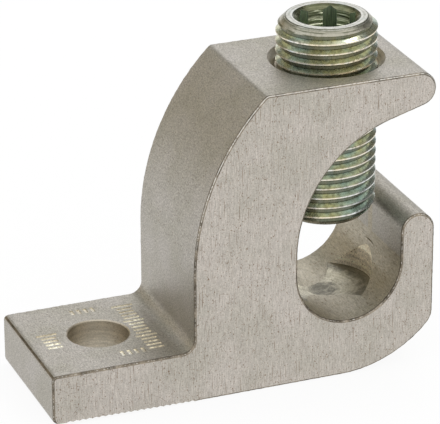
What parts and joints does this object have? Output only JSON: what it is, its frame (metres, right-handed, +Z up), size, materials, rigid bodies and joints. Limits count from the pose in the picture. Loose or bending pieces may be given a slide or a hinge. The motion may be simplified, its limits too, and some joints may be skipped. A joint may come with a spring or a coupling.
{
  "type": "lay-in lug",
  "caption": "Lay-in mechanical lug: sawn tinned aluminium extrusion with a drilled tongue, an open round conductor seat and a hex socket clamp screw.",
  "frame": {"origin": "middle of the bounding box at the height of the flat underside", "axes": "+X from the free end of the tongue to the lip, +Y across the sawn width, +Z up along the clamp screw"},
  "size_m": [0.0508, 0.019, 0.0447],
  "materials": {
    "tinned_aluminium": "matt electro-tinned extrusion, faintly speckled, with fine saw marks on both cut faces",
    "plated_steel": "bright zinc plate with a thin yellow-green passivation that shows in the thread"
  },
  "bodies": {
    "lug_body": {"lug_body": "tinned_aluminium"},
    "clamp_screw": {"clamp_screw": "plated_steel"}
  },
  "joints": [
    {"name": "screw_travel", "type": "slide", "parent": "lug_body", "child": "clamp_screw", "axis": [0, 0, 1], "range_m": [-0.00635, 0.01524]}
  ]
}
